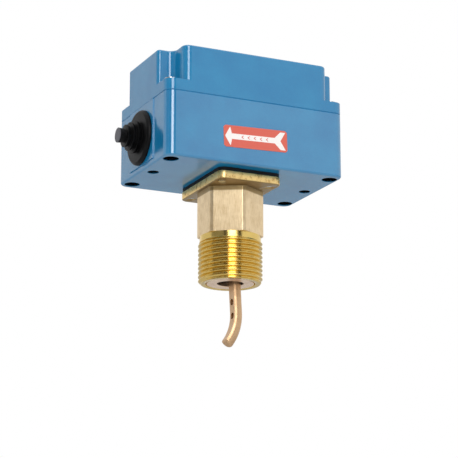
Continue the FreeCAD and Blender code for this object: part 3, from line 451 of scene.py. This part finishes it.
NODE_FINISH = {
    "enclosure_base": BLUE_BASE, "enclosure_cover": BLUE_COVER, "cover_gasket": GASKET_RUBBER,
    "cover_screws": SCREW_STEEL, "cable_grommet": BLACK_RUBBER, "flow_label": LABEL_RED,
    "stem_body": STEM_BRASS, "stem_bush": BUSH_BRONZE, "pivot_carrier": INNER_BRASS,
    "pivot_pin": PIN_STEEL, "flange_gasket": GASKET_RUBBER, "flange_screws": SCREW_STEEL,
    "seal_bellows": BELLOWS_RUBBER, "paddle_arm": ARM_BRASS, "operating_lever": ZINC,
    "lever_nut": SCREW_STEEL, "mounting_bracket": ZINC, "switch_case": SWITCH_BLACK,
    "switch_plunger": PLUNGER_RED, "terminal_plates": INNER_BRASS,
    "terminal_screws": SCREW_STEEL, "switch_screws": SCREW_STEEL, "earth_screw": SCREW_STEEL,
    "range_screw": SCREW_STEEL, "range_clip": SPRING_STEEL, "spring_seat": INNER_BRASS,
    "range_spring": SPRING_STEEL,
}
for node_name, node_finish in NODE_FINISH.items():
    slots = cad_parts[node_name].material_slots
    if not slots:
        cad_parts[node_name].data.materials.append(node_finish)
    for material_slot in slots:
        material_slot.material = node_finish


# ---- stem: hexagon and flange, thread, bore ----

def hexagon_reach(angle):
    """Distance from the axis to the hexagon: half its flats over the cosine of the angle from
    the nearest flat's middle, and no more than the turned corner."""
    from_flat = (angle + TURN / 12) % (TURN / 6) - TURN / 12
    straight = HEX_FLATS / 2 / np.cos(from_flat)
    corner = HEX_ROUND / 2
    blend = 0.12
    share = np.clip(0.5 + 0.5 * (corner - straight) / blend, 0, 1)
    return corner * (1 - share) + straight * share - blend * share * (1 - share)


def plate_reach(angle, half_x, half_y, corner):
    """Distance from the axis to a rectangle with round corners, along each angle."""
    across, along = np.abs(np.cos(angle)), np.abs(np.sin(angle))
    flat = np.minimum(half_x / np.maximum(across, 1e-9), half_y / np.maximum(along, 1e-9))
    inner_x, inner_y = half_x - corner, half_y - corner
    in_corner = (flat * across > inner_x) & (flat * along > inner_y)
    middle = across * inner_x + along * inner_y
    inside = middle ** 2 - (inner_x ** 2 + inner_y ** 2 - corner ** 2)
    return np.where(in_corner, middle + np.sqrt(np.maximum(inside, 0)), flat)


def stem_upper():
    """Hexagon, flange and upper bore: each row is an outline given by its reach at every angle,
    drawn in by an inset, at one height."""
    columns = 480
    angle = np.arange(columns) * TURN / columns
    hexagon = hexagon_reach(angle)
    half_x, half_y = STEM_HIGH[0], STEM_HIGH[1]
    flange = plate_reach(angle, half_x, half_y, FLANGE_CORNER)
    circle = np.ones(columns)
    foot, top = HEX_TALL, STEM_HIGH[2]
    rows = [(circle * STEM_BORE, 0.0),
            (hexagon - 0.35, 0.0), (hexagon - 0.1, 0.08), (hexagon, 0.32),
            (hexagon, foot - 0.5), (hexagon + 0.12, foot - 0.16), (hexagon + 0.5, foot),
            (flange - 0.8, foot), (flange - 0.42, foot + 0.02), (flange - 0.12, foot + 0.16),
            (flange, foot + 0.5), (flange, top - 0.45), (flange - 0.12, top - 0.12),
            (flange - 0.45, top), (circle * (STEM_TOP_BORE + 0.4), top),
            (circle * STEM_TOP_BORE, top - 0.4), (circle * STEM_TOP_BORE, STEM_STEP),
            (circle * STEM_BORE, STEM_STEP)]
    reach = np.array([row for row, _ in rows])
    height = np.array([row for _, row in rows])
    points = np.stack([reach * np.cos(angle), reach * np.sin(angle),
                       np.broadcast_to(height[:, None], reach.shape)], -1).reshape(-1, 3)
    faces = grid_faces(len(rows), columns, close_rows=True)
    piece = mesh_piece("stem_hexagon_flange", points, faces, "housing",
                       STEM_BRASS, 25)
    core, past = 0.01, 1.0
    profile = [(core, foot - past), (FLANGE_HOLE_REACH, foot - past),
               (FLANGE_HOLE_REACH, top + past), (core, top + past)]
    drill_points, drill_faces = joined(*[turned(profile, 32, (across, along, 0))
                                         for across in (-FLANGE_HOLE_X, FLANGE_HOLE_X)
                                         for along in (-FLANGE_HOLE_Y, FLANGE_HOLE_Y)])
    drill = mesh_piece("flange_drill", drill_points, drill_faces, "housing",
                       STEM_BRASS)
    cut = piece.modifiers.new("screw_holes", "BOOLEAN")
    cut.operation = "DIFFERENCE"
    cut.solver = "EXACT"
    cut.object = drill
    bake_modifiers(piece)
    bpy.data.objects.remove(drill)
    return piece


def bake_modifiers(piece):
    """Puts the mesh that a piece's modifiers give in place of its own, and drops them."""
    graph = bpy.context.evaluated_depsgraph_get()
    mesh = bpy.data.meshes.new_from_object(piece.evaluated_get(graph))
    piece.modifiers.clear()
    piece.data = mesh


def stem_thread():
    """Pipe thread: the reach falls from the crest by the thread's depth times a rounded saw of
    height / pitch - angle / turn. A plain collar stands above it, a cone cuts its end, and its
    mouth takes the bush."""
    columns, per_pitch = 192, 16
    low, collar = STEM_LOW[2], COLLAR_FOOT
    angle = np.arange(columns) * TURN / columns
    rows = int(-(low - collar) / PITCH * per_pitch)
    height = np.concatenate([[0.0, -0.25, -1.5, collar + 0.4], np.linspace(collar, low, rows)])
    saw = np.abs(2 * ((height[:, None] / PITCH - angle / TURN) % 1) - 1)
    cut = np.clip((saw - 0.14) / 0.70, 0, 1)
    cut = 0.55 * cut + 0.45 * cut * cut * (3 - 2 * cut)
    fade = smooth_step(-height, -collar - 0.2, -collar + 0.6)[:, None]
    reach = THREAD_CREST - 0.1 - THREAD_DEEP * cut * fade
    start = COLLAR_REACH + np.maximum(collar - height, 0)[:, None] * 1.2
    reach = np.minimum(reach, start)
    cone = THREAD_CREST - 1.35 + (height - low)[:, None]
    reach = np.minimum(reach, np.maximum(cone, THREAD_CREST - THREAD_DEEP - 0.3))
    reach[0] = COLLAR_REACH
    points = np.stack([reach * np.cos(angle), reach * np.sin(angle),
                       np.broadcast_to(height[:, None], reach.shape)], -1)
    ring = np.stack([np.cos(angle), np.sin(angle), np.zeros(columns)], -1)
    seat, rim, lip, lip_top = BUSH_HIGH[2], 14.6, 12.0, 0.4
    bore = [(rim, low), (MOUTH_REACH + MOUTH_CHAMFER, low), (MOUTH_REACH, low + MOUTH_CHAMFER),
            (MOUTH_REACH, seat), (STEM_BORE, seat), (STEM_BORE, 0.0), (lip, 0.0), (lip, lip_top),
            (rim, lip_top)]
    inner = np.array([ring * radius + np.array([0, 0, z]) for radius, z in bore])
    points = np.concatenate([points, inner])
    faces = grid_faces(len(points), columns, close_rows=True, flip=True)
    return mesh_piece("stem_pipe_thread", points.reshape(-1, 3), faces, "housing",
                      THREAD_BRASS, 50)


def bush():
    """Bronze bush: its profile, with rounded corners, is carried round the axis. Its face is level
    with the stem's rim, and a turned-down nose leaves a narrow groove between the two."""
    low, top = STEM_LOW[2], BUSH_HIGH[2]
    body = (BUSH_HIGH[0] - BUSH_LOW[0]) / 2
    face, shoulder = low + 0.05, low + BUSH_NOSE_LONG
    profile = rounded_profile([(BUSH_BORE + 0.4, face, 0.15), (BUSH_NOSE, face, 0.15),
                               (BUSH_NOSE, shoulder, 0.05), (body, shoulder, 0.1),
                               (body, top, 0.1), (BUSH_BORE, top, 0.1),
                               (BUSH_BORE, low + 0.45, 0.1)])
    points, faces = turned(profile, 128)
    piece = mesh_piece("bush_turned", points, faces, "housing", BUSH_BRONZE, 40)
    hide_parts("stem_bush")


bush()
upper = stem_upper()
thread = stem_thread()
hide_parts("stem_body")
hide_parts("stem_body")


# ---- cable grommet ----

def grommet():
    """Stepped cone with a disc at each side of the wall: its profile, every corner rounded, is
    carried round the axis, and a small flat polygon closes it at each side of the tip."""
    wall_x = BASE_LOW[0]
    tall = GROMMET_HIGH[2] - GROMMET_LOW[2]
    middle = (GROMMET_HIGH[2] + GROMMET_LOW[2]) / 2
    reach = wall_x - GROMMET_LOW[0]
    inner = wall_x - GROMMET_HIGH[0]
    corners = [(0.5, reach, 0), (3.9, reach, 0.35), (3.5, 0.70 * reach + 0.2, 0.2),
               (5.9, 0.70 * reach, 0.12), (5.0, 0.52 * reach + 0.2, 0.2),
               (7.4, 0.52 * reach, 0.12), (6.5, 0.36 * reach + 0.2, 0.2),
               (8.7, 0.36 * reach, 0.12), (7.8, 2.4, 0.25), (13.2, 2.4, 0.4), (14.2, 1.3, 0.6),
               (14.2, 0.02, 0.3), (8.95, 0.02, 0.1), (8.95, -3.15, 0.1), (10.8, -3.15, 0.3),
               (10.8, inner, 0.4), (7.0, inner, 0.4), (7.0, 0, 0.2), (2.6, 0.7 * reach, 0.3),
               (2.6, reach - 1.2, 0.3), (0.5, reach - 1.2, 0)]
    columns = 96
    points, faces = turned(rounded_profile(corners), columns, (wall_x, 0, middle), (-1, 0, 0),
                           close=False)
    faces = faces[:, ::-1].tolist()
    last = len(points) - columns
    faces += [list(range(columns)), list(range(last, last + columns))[::-1]]
    piece = mesh_piece("grommet_stepped", points, faces, "housing",
                       BLACK_RUBBER, 50)
    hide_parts("cable_grommet")


grommet()


# ---- bellows and range spring ----

def bellows():
    """Rubber bellows: the skin's reach swings as the cosine of a full turn per fold about the
    arm's leaning axis; its foot is a level disc and its collar grips the arm's neck."""
    lean = np.array([-math.sin(REST_LEAN), 0, math.cos(REST_LEAN)])
    start = BELLOWS_LOW[2] + 0.7 - PIVOT_RISE
    rise = np.linspace(0, FOLD_COUNT * FOLD_PITCH, FOLD_COUNT * 10 + 1)
    outer = FOLD_REACH + FOLD_SWING * np.cos(TURN * rise / FOLD_PITCH)
    top = start + rise[-1]
    collar = [(NECK_REACH + 1.2, top + 1.6), (NECK_REACH + 1.2, top + 3.2),
              (NECK_REACH + 1.0, top + 3.4), (NECK_REACH, top + 3.4), (NECK_REACH, top + SKIN)]
    profile = np.concatenate([np.column_stack([outer, start + rise]), collar,
                              np.column_stack([outer - SKIN, start + rise])[::-1]])
    folds = turned(profile, 64, (0, 0, PIVOT_RISE), lean)
    low, high = BELLOWS_LOW[2], BELLOWS_LOW[2] + BELLOWS_DISC_THICK
    disc = turned(rounded_profile([(BELLOWS_DISC_BORE, low, 0.2), (BELLOWS_DISC_REACH, low, 0.3),
                                   (BELLOWS_DISC_REACH, high, 0.3),
                                   (BELLOWS_DISC_BORE, high, 0.2)]), 64)
    points, faces = joined(folds, disc)
    piece = mesh_piece("bellows_folds", points, faces, None, BELLOWS_RUBBER, 60)
    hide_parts("seal_bellows")
    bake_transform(piece)


def spring():
    """Compression spring with closed ends: a round wire carried along a helix whose rise per
    turn is one wire at each end and even between them."""
    wire, turns, steps, sides = 0.45, 4.5, 180, 10
    middle = (SPRING_LOW + SPRING_HIGH) / 2
    mean = (SPRING_HIGH[0] - SPRING_LOW[0]) / 2 - wire
    turned_by = np.linspace(0, turns, steps)
    foot, head = SPRING_LOW[2] + wire, SPRING_HIGH[2] - wire
    height = np.interp(turned_by, [0, 0.5, turns - 0.5, turns],
                       [foot, foot + wire, head - wire, head])
    angle = turned_by * TURN
    out = np.stack([np.cos(angle), np.sin(angle), np.zeros(steps)], -1)
    path = np.array([middle[0], middle[1], 0]) + out * mean
    path[:, 2] = height
    round_wire = np.arange(sides) * TURN / sides
    up = np.array([0.0, 0.0, 1.0])
    points = (path[:, None] + wire * (np.cos(round_wire)[None, :, None] * out[:, None]
                                      + np.sin(round_wire)[None, :, None] * up))
    count = steps * sides
    faces = grid_faces(steps, sides, flip=True).tolist()
    faces += [list(range(sides)), list(range(count - sides, count))[::-1]]
    piece = mesh_piece("range_spring_coil", points.reshape(-1, 3), faces, "seat",
                       SPRING_STEEL, 50)
    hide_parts("range_spring")
    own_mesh(piece)


bellows()
spring()


# ---- label ----

def label_plate(name, outline, low, high, finish):
    """A flat outline of (x, z) points on the label, given a thickness from low to high in
    front of the wall and turned with the label."""
    outline = np.asarray(outline, float)
    count = len(outline)
    middle = np.array([LABEL_MIDDLE_X, BASE_LOW[2] + LABEL_MIDDLE_RISE])
    cos, sin = math.cos(LABEL_TILT), math.sin(LABEL_TILT)
    across = middle[0] + outline[:, 0] * cos - outline[:, 1] * sin
    up = middle[1] + outline[:, 0] * sin + outline[:, 1] * cos
    wall_y = LABEL_HIGH[1]
    back = np.stack([across, np.full(count, wall_y - low), up], -1)
    front = np.stack([across, np.full(count, wall_y - high), up], -1)
    faces = [list(range(count, 2 * count)), list(range(count))[::-1]]
    for index in range(count):
        following = (index + 1) % count
        faces.append([index, following, count + following, count + index])
    return mesh_piece(name, np.concatenate([back, front]), faces, "housing", finish, 30)


def label():
    """Red film with round corners; the white arrow and the small chevrons lie on it."""
    half_x, half_z = LABEL_WIDE / 2, LABEL_TALL / 2
    angle = np.arange(96) * TURN / 96
    reach = plate_reach(angle, half_x, half_z, 0.2)
    film = label_plate("label_film", np.stack([reach * np.cos(angle), reach * np.sin(angle)], -1),
                       0.0, 0.2, LABEL_RED)
    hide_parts("flow_label")
    shaft, barb, tail = 1.45, 4.65, 4.65
    tip, neck, base = -16.9, -13.4, 10.6
    arrow = [(tip, -0.2), (-14.3, -barb), (-14.0, -barb), (neck, -shaft - 0.6), (neck, -shaft),
             (base, -shaft), (13.9, -tail), (16.7, -tail), (13.9, 0.0), (16.7, tail),
             (13.9, tail), (base, shaft), (neck, shaft), (neck, shaft + 0.6), (-14.0, barb),
             (-14.3, barb), (tip, 0.2)]
    label_plate("label_arrow", arrow, 0.19, 0.225, LABEL_WHITE)
    for index in range(CHEVRON_COUNT):
        left = CHEVRON_START + CHEVRON_STEP * index
        chevron = [(left, 0), (left + 0.9, -0.8), (left + 1.5, -0.8), (left + 0.6, 0),
                   (left + 1.5, 0.8), (left + 0.9, 0.8)]
        label_plate(f"label_chevron_{index}", chevron, 0.215, 0.24, LABEL_RED)


label()


# ---- light, floor and camera, in metres and degrees ----

FLOOR_SIZE, FLOOR_LEVEL = 8.0, -0.3
CARD_LOW, CARD_HIGH = -0.29, 0.9
ROOM_LIGHT = 0.45


def sheet_object(name, size, place, finish):
    """A flat square that belongs to the stage."""
    mesh = bpy.data.meshes.new(name)
    half = size / 2
    mesh.from_pydata([(-half, -half, 0), (half, -half, 0), (half, half, 0), (-half, half, 0)], [],
                     [(0, 1, 2, 3)])
    made = bpy.data.objects.new(name, mesh)
    made.location = place
    mesh.materials.append(finish)
    bpy.context.scene.collection.objects.link(made)


def pale_floor():
    """Matt, nearly white paint."""
    finish = Finish("pale_floor")
    return finish.surface(Base_Color=(0.93, 0.93, 0.93, 1), Roughness=0.8)


def lamp(name, azimuth, elevation, distance, wide, tall, watts, mirrored=True):
    """A soft box that looks at the part, set by angles as the camera's are; a fill lamp isn't
    mirrored in the part."""
    data = bpy.data.lights.new(name, "AREA")
    data.shape = "RECTANGLE"
    data.size = wide
    data.size_y = tall
    data.energy = watts
    made = bpy.data.objects.new(name, data)
    turn, rise = math.radians(azimuth), math.radians(elevation)
    level = math.cos(rise) * distance
    made.location = (level * math.sin(turn), -level * math.cos(turn),
                     math.sin(rise) * distance + 0.03)
    made.rotation_euler = (math.pi / 2 - rise, 0, turn)
    made.visible_glossy = mirrored
    bpy.context.scene.collection.objects.link(made)


def card(name, first, last, distance, grey, glow=0.0):
    """A curved studio card that stands round the part: its point is distance from the axis at an
    azimuth that runs from first to last, and at a height that runs from CARD_LOW to CARD_HIGH.
    Views never see it; only metal and gloss mirror it."""
    columns = 24
    azimuth = np.radians(np.linspace(first, last, columns))
    ring = np.stack([np.sin(azimuth), -np.cos(azimuth)], -1) * distance
    points = np.concatenate([np.column_stack([ring, np.full(columns, height)])
                             for height in (CARD_LOW, CARD_HIGH)])
    faces = [(step, step + 1, columns + step + 1, columns + step) for step in range(columns - 1)]
    mesh = bpy.data.meshes.new(name)
    mesh.from_pydata(points.tolist(), [], faces)
    finish = Finish(name + "_paint")
    mesh.materials.append(finish.surface(
        Base_Color=(grey, grey, grey, 1), Roughness=0.9, Specular_IOR_Level=0.0,
        Emission_Color=(1, 1, 1, 1), Emission_Strength=glow))
    made = bpy.data.objects.new(name, mesh)
    made.visible_camera = False
    made.visible_diffuse = False
    made.visible_shadow = False
    bpy.context.scene.collection.objects.link(made)


def studio_world():
    """White where a view, a mirror or clear glass sees it, and a plain lower level as light."""
    world = bpy.data.worlds.new("studio")
    world.use_nodes = True
    bpy.context.scene.world = world
    tree = world.node_tree
    tree.nodes.clear()
    output = tree.nodes.new("ShaderNodeOutputWorld")
    path = tree.nodes.new("ShaderNodeLightPath")
    seen = path.outputs["Is Camera Ray"]
    for kind in ("Is Glossy Ray", "Is Transmission Ray"):
        either = tree.nodes.new("ShaderNodeMath")
        either.operation = "MAXIMUM"
        tree.links.new(seen, either.inputs[0])
        tree.links.new(path.outputs[kind], either.inputs[1])
        seen = either.outputs[0]
    mix = tree.nodes.new("ShaderNodeMixShader")
    tree.links.new(seen, mix.inputs[0])
    for socket, level in ((1, ROOM_LIGHT), (2, 1.0)):
        shade = tree.nodes.new("ShaderNodeBackground")
        shade.inputs["Color"].default_value = (1, 1, 1, 1)
        shade.inputs["Strength"].default_value = level
        tree.links.new(shade.outputs[0], mix.inputs[socket])
    tree.links.new(mix.outputs[0], output.inputs["Surface"])


def camera():
    """The camera below the part, looking up along the box's label side."""
    data = bpy.data.cameras.new("camera")
    data.sensor_width = 36
    data.lens = 145.44
    data.shift_x = 0.00489
    data.shift_y = -0.00897
    made = bpy.data.objects.new("camera", data)
    made.location = (-0.39074, -0.83217, -0.23587)
    made.rotation_euler = (math.radians(90 + 14.79), 0, math.radians(-25.04))
    bpy.context.scene.collection.objects.link(made)
    bpy.context.scene.camera = made


bpy.context.scene.view_settings.view_transform = "Standard"
sheet_object("floor", FLOOR_SIZE, (0, 0, FLOOR_LEVEL), pale_floor())
studio_world()
lamp("key", azimuth=-18, elevation=18, distance=1.1, wide=0.48, tall=0.9, watts=6.0)
lamp("left_fill", azimuth=-115, elevation=14, distance=1.15, wide=0.9, tall=0.9, watts=1.4,
     mirrored=False)
lamp("back_fill", azimuth=110, elevation=20, distance=1.3, wide=0.9, tall=0.9, watts=2.2,
     mirrored=False)
card("back_left_card", first=-160, last=-99, distance=1.3, grey=0.8, glow=0.25)
lamp("top", azimuth=20, elevation=75, distance=1.2, wide=0.8, tall=0.8, watts=2.4)
card("left_card", first=-99, last=-48, distance=1.3, grey=0.45)
card("left_flag", first=-48, last=-33, distance=1.25, grey=0.04)
card("right_flag", first=3, last=18, distance=1.25, grey=0.04)
camera()
